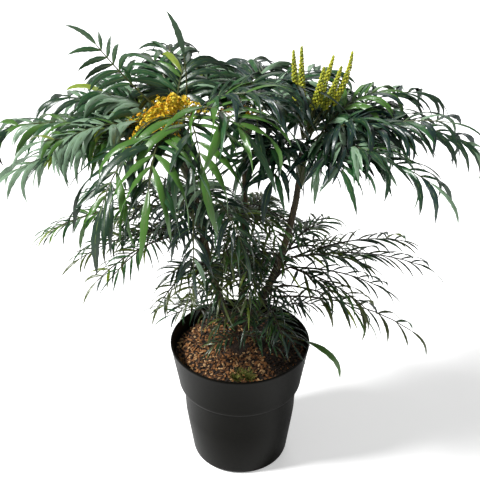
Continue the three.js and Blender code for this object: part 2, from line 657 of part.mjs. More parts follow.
const plant = new THREE.Group();
function addNode(name, solid, material) {
  const { vertProperties, triVerts } = solid.getMesh();
  const geometry = new THREE.BufferGeometry();
  geometry.setAttribute("position", new THREE.BufferAttribute(vertProperties, 3));
  geometry.setIndex(new THREE.BufferAttribute(triVerts, 1));
  geometry.computeVertexNormals();
  const mesh = new THREE.Mesh(geometry, material);
  mesh.name = name;
  plant.add(mesh);
}

const pot = turned([[0, 0], ...potOutside, ...potInside, [0, POT_FLOOR]]);
const soil = turned([[0, POT_FLOOR + SEAT_GAP], ...soilSides, ...soilSurface, [0, SOIL_TOP]]);
const trunk = makeTrunk(0);
addNode("pot", pot, FINISH.pot);
addNode("soil", soil, FINISH.soil);
addNode("trunk", trunk, FINISH.bark);
place(pot, "pot");
place(soil, "soil");
place(trunk, "trunk");
for (const [name, bough] of Object.entries(BOUGHS)) {
  const solid = makeBough(bough, 0);
  addNode("bough_" + name, solid, FINISH.bark);
  place(solid, name);
}
const grown = MASSES.map(growStalks);
grown.forEach(growSpikes);
grown.forEach(growLeaves);
for (const { mass, pieces } of grown) {
  const body = oneBody(wasm.Manifold.union(pieces)).simplify(0.02);
  addNode(mass.name, body, FINISH[mass.spikes ?? "leaf"]);
}

export default plant;
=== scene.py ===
# %% [markdown]
# A mahonia in flower, in a round nursery pot.
#
# The imported model comes in as plain solids: a pot, its potting mix, a short trunk, three boughs
# and a few dozen masses of leaves. This lesson dresses them. The leaves are grown again by the rule
# that grew the solids, so they reach just as far, but with every leaflet in its own outline. The
# pot, the mix and the stems are modelled with Blender's own operators.

# %% Load the imported model
import math
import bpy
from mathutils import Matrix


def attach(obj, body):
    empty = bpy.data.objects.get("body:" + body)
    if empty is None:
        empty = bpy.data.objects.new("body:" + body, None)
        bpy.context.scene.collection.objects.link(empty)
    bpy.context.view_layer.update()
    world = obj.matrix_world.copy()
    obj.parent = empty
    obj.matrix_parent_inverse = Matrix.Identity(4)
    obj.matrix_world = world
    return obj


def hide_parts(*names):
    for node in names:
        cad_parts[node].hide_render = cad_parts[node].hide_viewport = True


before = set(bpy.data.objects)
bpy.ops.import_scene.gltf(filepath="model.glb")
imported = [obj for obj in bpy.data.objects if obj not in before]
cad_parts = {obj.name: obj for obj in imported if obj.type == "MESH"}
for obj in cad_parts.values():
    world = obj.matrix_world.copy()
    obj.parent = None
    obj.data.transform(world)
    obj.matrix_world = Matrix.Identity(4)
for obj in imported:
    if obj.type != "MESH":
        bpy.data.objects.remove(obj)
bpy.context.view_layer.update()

from types import SimpleNamespace

import bpy
import numpy as np
from mathutils import Vector, noise

MM = 0.001
scene = bpy.context.scene
print("solids to dress:", len(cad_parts))

# %% [markdown]
# The camera stands about a metre off and looks down at the plant at a little over thirty degrees,
# which is why the whole ring of the pot's rim shows. The pitch follows from how round that ring
# looks, the lens from the plant's size in the picture.

# %% Camera
CAMERA_PLACE = (0, -0.997, 0.935)
CAMERA_PITCH = math.radians(90 - 30.6)
CAMERA_LENS, CAMERA_SENSOR = 67.5, 36

camera_data = bpy.data.cameras.new("plant_view")
camera_data.lens = CAMERA_LENS
camera_data.sensor_width = CAMERA_SENSOR
camera = bpy.data.objects.new("plant_view", camera_data)
camera.location = CAMERA_PLACE
camera.rotation_euler = (CAMERA_PITCH, 0, 0)
scene.collection.objects.link(camera)
scene.camera = camera
print("camera at", CAMERA_PLACE)

# %% [markdown]
# Finishes come before the pieces. Leaves, stalks and petals are tiny and number in the thousands,
# so a pattern laid over them would be too small to follow. They get plain colours, several to each
# The leaves' waxy shine comes from a fairly low roughness and a fine bump. One pale tone adds a
# painted highlight: a sheen painted into the colour of the leaflets that take it.

# %% Helpers for finishes
def tint(red, green, blue):
    """Screen values turned into the linear values that a shader works in."""
    return tuple((v / 255 / 12.92) if v < 11 else ((v / 255 + 0.055) / 1.055) ** 2.4
                 for v in (red, green, blue))


def shader_of(material):
    """The one shader that every finish here is built on."""
    return material.node_tree.nodes["Principled BSDF"]


def plain_finish(name, colour, roughness, **sockets):
    """A material with one base colour. sockets are further inputs of its shader."""
    material = bpy.data.materials.new(name)
    material.use_nodes = True
    shader = shader_of(material)
    shader.inputs["Base Color"].default_value = (*tint(*colour), 1)
    shader.inputs["Roughness"].default_value = roughness
    for socket, value in sockets.items():
        shader.inputs[socket.replace("_", " ")].default_value = value
    return material


def node(material, kind, **values):
    """A new node in a material, with its named inputs or settings filled in."""
    made = material.node_tree.nodes.new(kind)
    for name, value in values.items():
        socket = name.replace("_", " ")
        if socket in made.inputs:
            made.inputs[socket].default_value = value
        else:
            setattr(made, name, value)
    return made


def pattern(material, stretch=(1, 1, 1), **noise_values):
    """Noise in the object's own space, squeezed or stretched along its axes."""
    links = material.node_tree.links
    place = node(material, "ShaderNodeTexCoord")
    mapping = node(material, "ShaderNodeMapping", Scale=stretch)
    cloud = node(material, "ShaderNodeTexNoise", **noise_values)
    links.new(place.outputs["Object"], mapping.inputs["Vector"])
    links.new(mapping.outputs["Vector"], cloud.inputs["Vector"])
    return cloud


def add_bump(material, height, distance, strength=1.0):
    """Relief that the light sees: height is an output between 0 and 1, distance its real depth."""
    links = material.node_tree.links
    bump = node(material, "ShaderNodeBump", Strength=strength, Distance=distance)
    links.new(height, bump.inputs["Height"])
    links.new(bump.outputs["Normal"], shader_of(material).inputs["Normal"])


def add_colours(material, factor, *stops):
    """Base colour from a ramp: each stop is a place between 0 and 1 and a screen colour."""
    links = material.node_tree.links
    ramp = node(material, "ShaderNodeValToRGB")
    marks = ramp.color_ramp.elements
    while len(marks) < len(stops):
        marks.new(0.5)
    for mark, (place, colour) in zip(marks, stops):
        mark.position = place
        mark.color = (*tint(*colour), 1)
    links.new(factor, ramp.inputs["Fac"])
    links.new(ramp.outputs["Color"], shader_of(material).inputs["Base Color"])


# %% Leaf, stalk and flower finishes
LEAF_TONES = {
    "deep": (16, 44, 38),
    "dark": (24, 54, 32),
    "olive": (70, 82, 30),
    "mid": (38, 80, 42),
    "fresh": (66, 108, 36),
    # painted highlight: a pale grey-green that stands for the shine where light falls on the leaves
    "silver": (120, 148, 120),
    "young": (118, 138, 38),
}


def leaf_finish(tone, colour):
    """A waxy leaf skin: a plain colour with a shine that a fine ripple breaks up."""
    material = plain_finish("leaf_" + tone, colour, 0.34, Specular_IOR_Level=0.65)
    ripple = pattern(material, Scale=420.0, Detail=2.0)
    add_bump(material, ripple.outputs["Fac"], 0.0006, 0.35)
    return material


leaf_finishes = {tone: leaf_finish(tone, colour) for tone, colour in LEAF_TONES.items()}
midrib_finish = plain_finish("leaf_midrib", (92, 112, 62), 0.45)
stalk_finish = plain_finish("green_stalk", (66, 72, 34), 0.5)
brown_stalk_finish = plain_finish("brown_stalk", (46, 38, 22), 0.6)
petal_finish = plain_finish("petal_gold", (236, 206, 56), 0.5)
deep_petal_finish = plain_finish("petal_orange", (222, 172, 30), 0.55)
bud_finish = plain_finish("bud_yellow_green", (186, 188, 48), 0.5)
young_bud_finish = plain_finish("bud_green", (138, 150, 38), 0.5)
print("leaf tones:", ", ".join(leaf_finishes))

# %% [markdown]
# Most of what follows is gathered as plain lists of points and faces, and becomes a mesh in one go.
# An operator for every leaflet would be far too slow, and one joined mesh for each kind of thing
# keeps the scene light. A bundle below is such a list.

# %% Bundles of small shapes
def unit(v):
    """A vector, or each row of an array of them, at length one."""
    return v / np.linalg.norm(v, axis=-1, keepdims=True)


class Bundle:
    """Points and faces of many small shapes, in millimetres, before they become one mesh."""

    def __init__(self):
        self.points = []
        self.faces = []
        self.finish = []
        self.size = 0
        self.nodes = set()

    def add(self, points, faces, finish=0):
        """Add one shape, whose faces name its own points. finish is a place in the materials."""
        start = self.size
        self.points.append(points)
        self.faces += [tuple(start + i for i in face) for face in faces]
        self.finish += [finish] * len(faces)
        self.size += len(points)


def finished(piece, nodes):
    """Let a piece ride on the plant and stand for its solids."""
    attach(piece, "root")
    if nodes:
        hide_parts(*sorted(nodes))
    piece.data.calc_loop_triangles()
    print(f"{piece.name}: {len(piece.data.loop_triangles)} triangles")
    return piece


def alone(piece):
    """Select one object and make it the active one."""
    bpy.ops.object.select_all(action="DESELECT")
    piece.select_set(True)
    bpy.context.view_layer.objects.active = piece


def joined(name, bundle, materials, crease=50):
    """One piece from a bundle. Edges that turn by more than crease degrees stay sharp."""
    mesh = bpy.data.meshes.new(name)
    mesh.from_pydata((np.concatenate(bundle.points) * MM).tolist(), [], bundle.faces)
    for material in materials:
        mesh.materials.append(material)
    mesh.polygons.foreach_set("material_index", bundle.finish)
    piece = bpy.data.objects.new(name, mesh)
    scene.collection.objects.link(piece)
    alone(piece)
    bpy.ops.object.shade_smooth_by_angle(angle=math.radians(crease))
    return finished(piece, bundle.nodes)


# %% [markdown]
# The growth rule. Chance has to fall the same way on every run, so it is a formula of two whole
# numbers. A direction is an azimuth, counted from the right-hand side towards the back, and a
# rise. A leafstalk leaves at a rise and droops more and more, and each leaflet bows down under its
# weight.

# %% Chance and directions
DOWN = np.array([0.0, 0.0, -1.0])
LOWEST_DIVE = -80
STALK_STEPS = 7


def scatter(i, j):
    """Repeatable chance between -1 and 1 for a pair of whole numbers."""
    v = math.sin(i * 127.1 + j * 311.7) * 43758.5453
    return (v - math.floor(v)) * 2 - 1


def heading(azimuth, rise):
    """Unit direction for an azimuth and a rise in degrees."""
    a, e = math.radians(azimuth), math.radians(rise)
    return np.array([math.cos(e) * math.cos(a), math.cos(e) * math.sin(a), math.sin(e)])


def bowed(direction, angles):
    """A direction turned towards straight down by each of the angles, never quite reaching it."""
    cosine = float(np.clip(direction @ DOWN, -1, 1))
    whole = math.acos(cosine)
    side = unit(DOWN - direction * cosine)
    turn = np.minimum(angles, 0.97 * whole)[:, None]
    return np.cos(turn) * direction + np.sin(turn) * side


# %% Stalks
def stalk_line(base, azimuth, rise, length, droop, roll=0.0):
    """The line of a stalk in even steps, with its direction at each step."""
    share = (np.arange(STALK_STEPS) + 0.5) / STALK_STEPS
    rises = np.maximum(rise - droop * share ** 1.25, LOWEST_DIVE)
    tangents = np.array([heading(azimuth, r) for r in rises])
    points = base + np.vstack([np.zeros(3), np.cumsum(tangents, axis=0)]) * length / STALK_STEPS
    flat = heading(azimuth - 90, 0)
    return SimpleNamespace(points=points, tangents=tangents, length=length, flat=flat, roll=roll)


def station(line, s):
    """A place on a stalk: where it is, its direction, and the sides square to it."""
    x = min(max(s, 0), 1) * STALK_STEPS
    i = min(int(x), STALK_STEPS - 1)
    at = line.points[i] + (line.points[i + 1] - line.points[i]) * (x - i)
    tangent = line.tangents[i]
    face = unit(np.cross(line.flat, tangent))
    side = line.flat * math.cos(line.roll) + face * math.sin(line.roll)
    return SimpleNamespace(at=at, tangent=tangent, side=side, under=unit(np.cross(tangent, side)))


def leaf_places(pairs, petiole):
    """Where leaflets sit along a stalk: in pairs, then one at the tip."""
    return [petiole + (1 - petiole) * (i + 0.35) / (pairs + 0.2) for i in range(pairs)] + [1]


# %% [markdown]
# Leaflets come in a few sizes. The broad ones hang in front under the crown's left side, the long
# arching ones make its two wings, and the fine ones feather the low fronds. The solids have fewer
# and wider ones; the widths here are true. As a leaflet bows down it also swings a little to one
# side, by chance, so that a frond never looks combed.

# %% Leaflet sizes
LEAF_STEPS = 11
# How far chance may swing a leaflet to one side, and turn it about itself, in radians.
SWEEP, TWIST = 0.5, 1.1
LEAF_SIZES = {
    # length, width, and the angle in degrees between leaflet and stalk
    "broad": (88, 11.6, 60),
    "arching": (68, 9.4, 56),
    "long": (64, 9.8, 60),
    "middle": (50, 7, 66),
    "trailing": (50, 4.8, 46),
    "fine": (36, 4.2, 62),
    "small": (29, 3.8, 62),
    "rising": (44, 8.4, 64),
    "straight": (58, 9.4, 66),
    "over_rim": (92, 14, 66),
}


def plan_leaf(frond, line, i, hand):
    """One leaflet's line. hand is -1 on the left of the stalk, 1 on the right and 0 at its tip."""
    full_length, full_width, lean = LEAF_SIZES[frond.leaf]
    s = leaf_places(frond.pairs, frond.petiole)[i]
    spot = station(line, s)
    j = scatter(frond.seed * 7 + i, hand + 3)
    k = scatter(frond.seed * 5 + i, hand + 9)
    # Leaflets are longest halfway along a frond, and point further forward towards its tip.
    swell = 0.72 + 0.34 * math.sin(math.pi * (i + 1.2) / (frond.pairs + 1.6))
    direction, across = spot.tangent, spot.side
    if hand:
        forward = math.radians(lean - 24 * s + 17 * k)
        direction = unit(spot.tangent * math.cos(forward) + spot.side * hand * math.sin(forward)
                         - spot.under * 0.3)
        across = spot.tangent
    length = full_length * (swell * (1 + 0.15 * j) if hand else 0.95)
    bow = math.radians(frond.hang * (1 + 0.35 * j) if hand else 0.7 * frond.hang)
    share = ((np.arange(LEAF_STEPS) + 0.5) / LEAF_STEPS) ** 1.25
    ways = bowed(direction, bow * share)
    sweep = SWEEP * scatter(frond.seed * 3 + i, hand + 15)
    ways = unit(ways + across * sweep * share[:, None])
    spine = spot.at + np.vstack([np.zeros(3), np.cumsum(ways, axis=0)]) * length / LEAF_STEPS
    return SimpleNamespace(spine=spine, ways=ways, across=-across if hand > 0 else across,
                           length=length, width=full_width * (0.85 + 0.15 * k),
                           twist=TWIST * k, wave=j)


# %% [markdown]
# One leaflet is a thin closed blade. Its outline is a lance with small forward teeth, its upper
# face is two shallow arches with the midrib sunk between them, and its underside is a simple keel.
# That shape catches light in two long streaks. The midrib is a paler strip.

# %% Leaflet shape
BLADE_SECTION = [(-1, -0.14), (-0.52, 0.08), (0, -0.06), (0.52, 0.08), (1, -0.14)]
BLADE_THICKNESS = 0.45
TOOTH_DEPTH = 0.14
# Points in a section: the five above and the keel below.
RING = len(BLADE_SECTION) + 1


def blade_faces():
    """The faces of a leaflet: upper strips, two strips below, a root cap and a pointed tip."""
    faces = []
    tip = RING * LEAF_STEPS
    last = tip - RING
    around = [(p, (p + 1) % RING) for p in range(RING)]
    for a in range(0, last, RING):
        faces += [(a + p, a + q, a + RING + q, a + RING + p) for p, q in around]
    faces += [(last + p, last + q, tip) for p, q in around]
    return faces + [tuple(range(RING))[::-1]]


BLADE_FACES = blade_faces()
BLADE_SHARES = np.arange(LEAF_STEPS) / LEAF_STEPS
LANCE = np.maximum(np.sin(np.pi * BLADE_SHARES ** 0.7) ** 0.9, 0.12)
TOOTHED = (np.arange(LEAF_STEPS) % 2 == 1) & (BLADE_SHARES > 0.2)


def blade_frame(plan):
    """The sideways and upward directions at each section of a leaflet, with its slow twist."""
    wide = unit(plan.across - plan.ways * (plan.ways @ plan.across)[:, None])
    up = np.cross(wide, plan.ways)
    angle = (plan.twist * BLADE_SHARES)[:, None]
    return wide * np.cos(angle) + up * np.sin(angle), up * np.cos(angle) - wide * np.sin(angle)


def blade_points(plan):
    """The points of a leaflet, section by section, and its tip."""
    wide, up = blade_frame(plan)
    half = (0.5 * plan.width * LANCE)[:, None]
    rows = []
    for side, lift in BLADE_SECTION:
        reach = half * side
        centre = plan.spine[:-1]
        if abs(side) == 1:
            reach = np.where(TOOTHED, 1, 1 - TOOTH_DEPTH)[:, None] * reach
            centre = centre + plan.ways * (TOOTHED * 0.2 * plan.length / LEAF_STEPS)[:, None]
        ripple = 0.1 * abs(side) * np.sin(7 * BLADE_SHARES + 3 * plan.wave + side)[:, None]
        rows.append(centre + wide * reach + up * half * (lift + ripple))
    rows.append(plan.spine[:-1] - up * (0.06 * half + BLADE_THICKNESS))
    return np.vstack([np.stack(rows, axis=1).reshape(-1, 3), plan.spine[-1:]])


# %% Midrib shape
MIDRIB_SECTIONS = [0, 1, 3, 5, 7, 9]
MIDRIB_FACES = [(2 * n, 2 * n + 1, 2 * n + 3, 2 * n + 2) for n in range(len(MIDRIB_SECTIONS) - 1)]


def midrib_points(plan):
    """A narrow strip in the fold of the blade, dying out before the tip."""
    wide, up = blade_frame(plan)
    at = MIDRIB_SECTIONS
    half = (0.5 * plan.width * LANCE[at])[:, None]
    thin = (0.042 * plan.width * (1.15 - BLADE_SHARES[at]))[:, None]
    centre = plan.spine[at] + up[at] * (0.15 - 0.04 * half)
    return np.stack([centre - wide[at] * thin, centre + wide[at] * thin], axis=1).reshape(-1, 3)


# %% [markdown]
# The three boughs are the same cubic curves as in the solids. The masses of leaves are a table, one
# row each: the bough and the place on it, the way the fronds point and fan out, how they rise and
# droop, and which leaflets they bear. The last word picks a palette. The left side stands in the
# light, and its light palette is painted light: paler tones with a large share of painted sheen.
# The right side gets darker blue-green tones, and the low fronds the darker, olive tones of the
# shade palette, which is painted shade.

# %% Boughs and masses
BOUGHS = {
    "left": [(-6.2, -1, 205), (-42, -6, 275), (-48, -24, 400), (-74, -34, 530)],
    "right": [(6.2, -1, 205), (34, 0, 260), (72, 2, 340), (76, 0, 478)],
    "back": [(0, 9, 205), (6, 28, 290), (4, 58, 380), (10, 62, 495)],
}
BOUGH_RADII = {"left": 5.4, "right": 5.4, "back": 4.9}
BOUGH_TIP_RADIUS = 4.2
TRUNK_FOOT, TRUNK_FORK = 172, 205
TRUNK_AXIS = (0, 2.4)

MASS_FIELDS = ("name seed on at toward fan count rise step length "
               "droop leaf pairs hang tones").split()
MASSES = [
    ("left_front", 20, "left", 0.96, 252, 24, 2, 24, 10, 140, 80, "broad", 6, 84, "bright"),
    ("left_front_east", 30, "left", 0.985, 300, 36, 2, 38, 8, 110, 84, "broad", 6, 84, "bright"),
    ("left_west", 0, "left", 0.9, 187, 44, 3, 19, 3, 180, 34, "arching", 8, 98, "light"),
    ("left_west_low", 10, "left", 0.85, 201, 20, 2, 27, 7, 150, 32, "middle", 8, 98, "light"),
    ("left_north_west", 70, "left", 0.945, 148, 24, 2, 19, 6, 138, 34, "arching", 8, 98, "light"),
    ("left_west_high", 370, "left", 0.93, 194, 26, 2, 27, 6, 130, 56, "long", 7, 98, "light"),
    ("left_rising", 80, "left", 0.98, 166, 0, 1, 40, 0, 104, -10, "rising", 6, 50, "bright"),
    ("left_top", 90, "left", 0.99, 10, 0, 1, 86, 0, 64, -14, "straight", 0, 28, "bright"),
    ("left_back", 60, "left", 0.97, 100, 60, 3, 40, 8, 128, 60, "long", 7, 84, "bright"),
    ("left_east", 50, "left", 0.95, 350, 30, 2, 60, 0, 120, 80, "long", 7, 88, "cool"),
    ("left_front_low", 40, "left", 0.78, 286, 30, 2, 10, 6, 130, 64, "middle", 8, 86, "cool"),
    ("right_east_high", 100, "right", 0.99, 11, 34, 2, 34, 4, 186, 58, "arching", 8, 98, "cool"),
    ("right_east", 110, "right", 0.945, -11, 34, 3, 33, 7, 160, 46, "arching", 7, 98, "cool"),
    ("right_east_low", 120, "right", 0.915, -8, 36, 2, 40, 6, 86, 36, "long", 4, 80, "cool"),
    ("right_front", 130, "right", 0.98, 305, 34, 2, 38, 8, 84, 62, "long", 8, 84, "cool"),
    ("right_front_west", 140, "right", 0.96, 228, 44, 3, 32, 8, 80, 44, "long", 5, 80, "cool"),
    ("right_back", 150, "right", 0.965, 65, 60, 3, 34, 8, 150, 70, "long", 7, 88, "cool"),
    ("back_back", 160, "back", 0.97, 90, 70, 3, 28, 8, 150, 65, "long", 7, 86, "cool"),
    ("back_west", 170, "back", 0.975, 165, 50, 2, 38, 0, 130, 60, "long", 7, 86, "bright"),
    ("back_east", 180, "back", 0.975, 15, 50, 2, 38, 0, 120, 60, "long", 7, 86, "cool"),
    ("back_front", 190, "back", 1, 298, 54, 2, 52, 8, 92, 62, "broad", 4, 82, "cool"),
    ("right_low_east", 200, "right", 0.51, 3, 16, 2, 13, 4, 156, 34, "trailing", 10, 70, "shade"),
    ("right_low_front", 210, "right", 0.47, -14, 14, 2, 4, 5, 118, 32, "trailing", 6, 70, "shade"),
    ("right_low_mid", 350, "right", 0.36, -20, 0, 1, 8, 0, 112, 46, "trailing", 4, 76, "shade"),
    ("right_low_back", 220, "right", 0.52, 50, 60, 3, 20, 6, 120, 64, "fine", 6, 66, "shade"),
    ("right_low_west", 230, "right", 0.56, 215, 60, 3, 8, 6, 84, 50, "small", 8, 66, "shade"),
    ("left_low_west", 240, "left", 0.66, 196, 18, 2, 18, 6, 180, 40, "fine", 12, 72, "light"),
    ("left_low_front", 250, "left", 0.56, 214, 52, 4, 20, 6, 140, 46, "fine", 11, 66, "shade"),
    ("left_low_east", 260, "left", 0.62, 320, 60, 3, 26, 6, 90, 50, "fine", 9, 62, "shade"),
    ("left_low_back", 270, "left", 0.6, 125, 60, 3, 18, 6, 120, 50, "fine", 10, 70, "shade"),
    ("middle_front", 280, "back", 0.45, 276, 56, 3, 34, 6, 90, 60, "fine", 9, 60, "shade"),
    ("middle_high", 290, "back", 0.62, 296, 90, 3, 10, 6, 70, 60, "fine", 8, 62, "shade"),
    ("middle_back", 300, "back", 0.5, 90, 120, 4, 8, 6, 96, 50, "fine", 9, 70, "shade"),
    ("right_ruff", 440, "right", 0.985, 192, 130, 3, 50, 8, 44, 44, "long", 3, 84, "cool"),
    ("back_low", 360, "back", 0.22, 95, 230, 5, 8, 6, 96, 44, "fine", 9, 66, "shade"),
    ("foot_east", 310, "right", 0.27, -13, 0, 1, 13, 0, 196, 42, "middle", 6, 96, "shade"),
    ("foot_rim", 320, "trunk", 0.75, -17, 0, 1, 8, 0, 80, 22, "over_rim", 0, 150, "cool"),
    ("foot_west", 330, "trunk", 0.5, 192, 30, 2, 58, 6, 120, 74, "fine", 8, 62, "shade"),
    ("left_low_mid", 380, "left", 0.44, 258, 60, 3, 14, 6, 84, 50, "fine", 8, 60, "shade"),
    ("right_low_hub", 390, "right", 0.3, 255, 70, 3, 20, 6, 74, 50, "fine", 7, 60, "shade"),
    ("middle_low", 420, "back", 0.3, 272, 80, 3, 16, 6, 80, 50, "fine", 8, 58, "shade"),
    ("foot_right", 430, "right", 0.12, -30, 50, 2, 30, 6, 74, 50, "fine", 8, 60, "shade"),
    ("foot_front", 340, "trunk", 0.75, 275, 120, 2, 24, 0, 50, 55, "small", 6, 70, "shade"),
]
MASSES = [SimpleNamespace(**dict(zip(MASS_FIELDS, row))) for row in MASSES]
# The bare stretch of a frond's stalk, as a share of its length.
PETIOLE, LOW_PETIOLE = 0.22, 0.12
LONG_PETIOLES = {
    "left_front": 0.4, "left_front_east": 0.26, "left_west_high": 0.4, "left_rising": 0.42,
    "left_top": 0.6, "foot_rim": 0.7,
}
# Edgewise fronds hold their leaflets above and below the stalk. A single mass has no ring of
# inner fronds, a sparse one has one and all the others have two.
EDGEWISE = {"left_rising", "left_top"}
SINGLE = {
    "left_front", "left_rising", "left_top", "left_east", "right_low_mid", "right_low_hub",
    "right_ruff", "foot_rim", "foot_east", "foot_front",
}
SPARSE = {
    "left_front_east", "left_west_low", "left_low_west", "left_low_front", "left_low_mid",
    "left_low_east", "right_east_low", "right_low_east", "right_low_front", "right_low_west",
    "middle_front", "middle_high", "middle_low", "foot_west", "foot_right",
}
INNER_RINGS = [
    # step of the seed, turn, lift and share of the length, from the middle ring of a tuft to its
    # youngest fronds
    (503, 17, 11, 0.62),
    (701, -24, 27, 0.5),
]
SPUR_LENGTH = 19

# %% [markdown]
# A palette gives each tone its share. A frond takes one tone for most of its leaflets and lets
# some stray, so that a fresh or yellowing one turns up here and there.

# %% Palettes
# The light palette is painted light, the shade palette painted shade.
PALETTES = {
    "light": {"silver": 0.46, "mid": 0.28, "fresh": 0.09, "dark": 0.12, "young": 0.05},
    "bright": {"mid": 0.36, "fresh": 0.1, "silver": 0.14, "dark": 0.37, "young": 0.03},
    "cool": {"deep": 0.36, "dark": 0.24, "mid": 0.2, "silver": 0.16, "fresh": 0.04},
    "shade": {"olive": 0.38, "dark": 0.24, "deep": 0.1, "mid": 0.16, "fresh": 0.07, "young": 0.05},
}
STRAY_SHARE = 0.4


def dealt(palette, i, j):
    """The tone that chance deals out of a palette."""
    left = (scatter(i, j) + 1) / 2
    for tone, share in PALETTES[palette].items():
        left -= share
        if left <= 0:
            break
    return tone


def leaf_tone(mass, seed, i, hand):
    """The tone of one leaflet: its frond's, which is never young, or now and then its own."""
    strays = (scatter(seed * 11 + i, hand + 21) + 1) / 2 < STRAY_SHARE
    tone = dealt(mass.tones, seed * 13 + i, hand + 5) if strays else dealt(mass.tones, seed, 17)
    return "fresh" if tone == "young" and not strays else tone


# %% [markdown]
# Before a leaflet is kept it is tried against what it must not run through. The points along its
# spine keep clear of the sampled boughs, of the pot's wall and of the mix.

# %% Room for a leaflet
POT_RIM_HEIGHT, POT_RIM_RADIUS = 188, 95.5
SOIL_HEIGHT = 171.7
OFF_BOUGH, OFF_POT_WALL, OVER_RIM, OVER_SOIL = 7, 5, 2, 1.5


def bough_point(name, t):
    """A place along a bough's cubic curve, from 0 at the fork to 1 at its tip."""
    p = np.array(BOUGHS[name], dtype=float)
    weights = np.array([(1 - t) ** 3, 3 * (1 - t) ** 2 * t, 3 * (1 - t) * t ** 2, t ** 3])
    return weights @ p


BOUGH_SAMPLES = np.array([bough_point(name, t) for name in BOUGHS for t in np.linspace(0, 1, 50)])


def has_room(plan):
    """Whether a leaflet stays out of the boughs, the pot's wall and the mix."""
    outer = plan.spine[3:]
    near = np.linalg.norm(outer[:, None] - BOUGH_SAMPLES[None], axis=2).min()
    from_axis = np.hypot(outer[:, 0], outer[:, 1])
    at_wall = abs(from_axis - POT_RIM_RADIUS + 1) < OFF_POT_WALL
    in_pot = (outer[:, 2] < POT_RIM_HEIGHT + OVER_RIM) & at_wall
    in_soil = (outer[:, 2] < SOIL_HEIGHT + OVER_SOIL) & (from_axis < POT_RIM_RADIUS)
    return near > OFF_BOUGH and not in_pot.any() and not in_soil.any()


# %% [markdown]
# A leafstalk clasps the bough a little below its hub, runs up beside it and then swings out. It is
# a slim tube of rings, swollen where each pair of leaflets is joined on. Higher stalks are green
# and the ones low on the plant have turned brown.

# %% Stalk shape
STALK_SIDES = 6
STALK_ROOT_RADIUS, STALK_TIP_RADIUS = 1.35, 0.6
SHEATH_RADIUS = 3.1
# How far below its hub a stalk clasps the bough, and how far out its root starts and bends.
CLASP = 0.11
BOUGH_ROOT, TRUNK_ROOT = (2.5, 7), (8, 13)
TRUNK_ROOT_DROP = 6


def tube(bundle, centres, radii, finish):
    """A closed tube of rings round a line of centres."""
    centres, radii = np.array(centres), np.array(radii)
    along = unit(np.gradient(centres, axis=0))
    side = unit(np.cross(along, (0.13, 0.21, 0.97)))
    other = np.cross(along, side)
    turns = 2 * np.pi * np.arange(STALK_SIDES) / STALK_SIDES
    outward = (side[:, None] * np.cos(turns)[None, :, None]
               + other[:, None] * np.sin(turns)[None, :, None])
    rings = centres[:, None] + radii[:, None, None] * outward
    faces = []
    last = (len(centres) - 1) * STALK_SIDES
    for start in range(0, last, STALK_SIDES):
        for k in range(STALK_SIDES):
            a, b = start + k, start + (k + 1) % STALK_SIDES
            faces.append((a, b, b + STALK_SIDES, a + STALK_SIDES))
    faces.append(tuple(range(STALK_SIDES))[::-1])
    faces.append(tuple(range(last, last + STALK_SIDES)))
    bundle.add(rings.reshape(-1, 3), faces, finish)


def clasping_root(mass, base, out, k):
    """The stretch of a stalk between the bough and its hub."""
    if mass.on not in BOUGHS:
        foot = np.array([*TRUNK_AXIS, base[2] - TRUNK_ROOT_DROP])
        return [foot + out * reach for reach in TRUNK_ROOT]
    start_reach, bend_reach = BOUGH_ROOT
    below = max(mass.at - CLASP * (0.7 + 0.3 * scatter(mass.seed + k, 31)), 0.04)
    start = bough_point(mass.on, below) + out * start_reach
    bend = bough_point(mass.on, 0.25 * below + 0.75 * mass.at) + out * bend_reach
    return [start * (1 - t) ** 2 + bend * 2 * t * (1 - t) + base * t * t
            for t in (0, 0.25, 0.5, 0.75)]


def grow_stalk(bundle, frond, line, root, finish):
    """A frond's stalk, with a swelling at each pair of leaflets."""
    places = {round(s, 4): 1.0 for s in np.linspace(0, 1, STALK_STEPS + 1)}
    joint = 1.5 / line.length
    for s in leaf_places(frond.pairs, frond.petiole)[:-1]:
        places.update({round(s - joint, 4): 1.05, round(s, 4): 1.5, round(s + joint, 4): 1.0})
    stations = sorted(places)
    centres = root + [station(line, s).at for s in stations]
    taper = [STALK_ROOT_RADIUS + (STALK_TIP_RADIUS - STALK_ROOT_RADIUS) * s for s in stations]
    widening = np.linspace(SHEATH_RADIUS, STALK_ROOT_RADIUS * 1.1, len(root))
    tube(bundle, centres, [*widening, *[r * places[s] for r, s in zip(taper, stations)]], finish)


# %% Grow the fronds
# How far chance moves a frond: its azimuth and rise in degrees, its length as a share.
AZIMUTH_CHANCE, RISE_CHANCE, LENGTH_CHANCE = 4, 5, 0.08
leaf_bundles = {tone: Bundle() for tone in LEAF_TONES}
midribs = Bundle()
stalks = Bundle()


def mass_base(mass):
    """Where a mass's stalks spread from, and the way out from its bough."""
    if mass.on in BOUGHS:
        foot = bough_point(mass.on, mass.at)
    else:
        foot = np.array([*TRUNK_AXIS, TRUNK_FOOT + (TRUNK_FORK - TRUNK_FOOT) * mass.at])
    out = heading(mass.toward, mass.rise * 0.5 + 10)
    return foot + out * SPUR_LENGTH, out


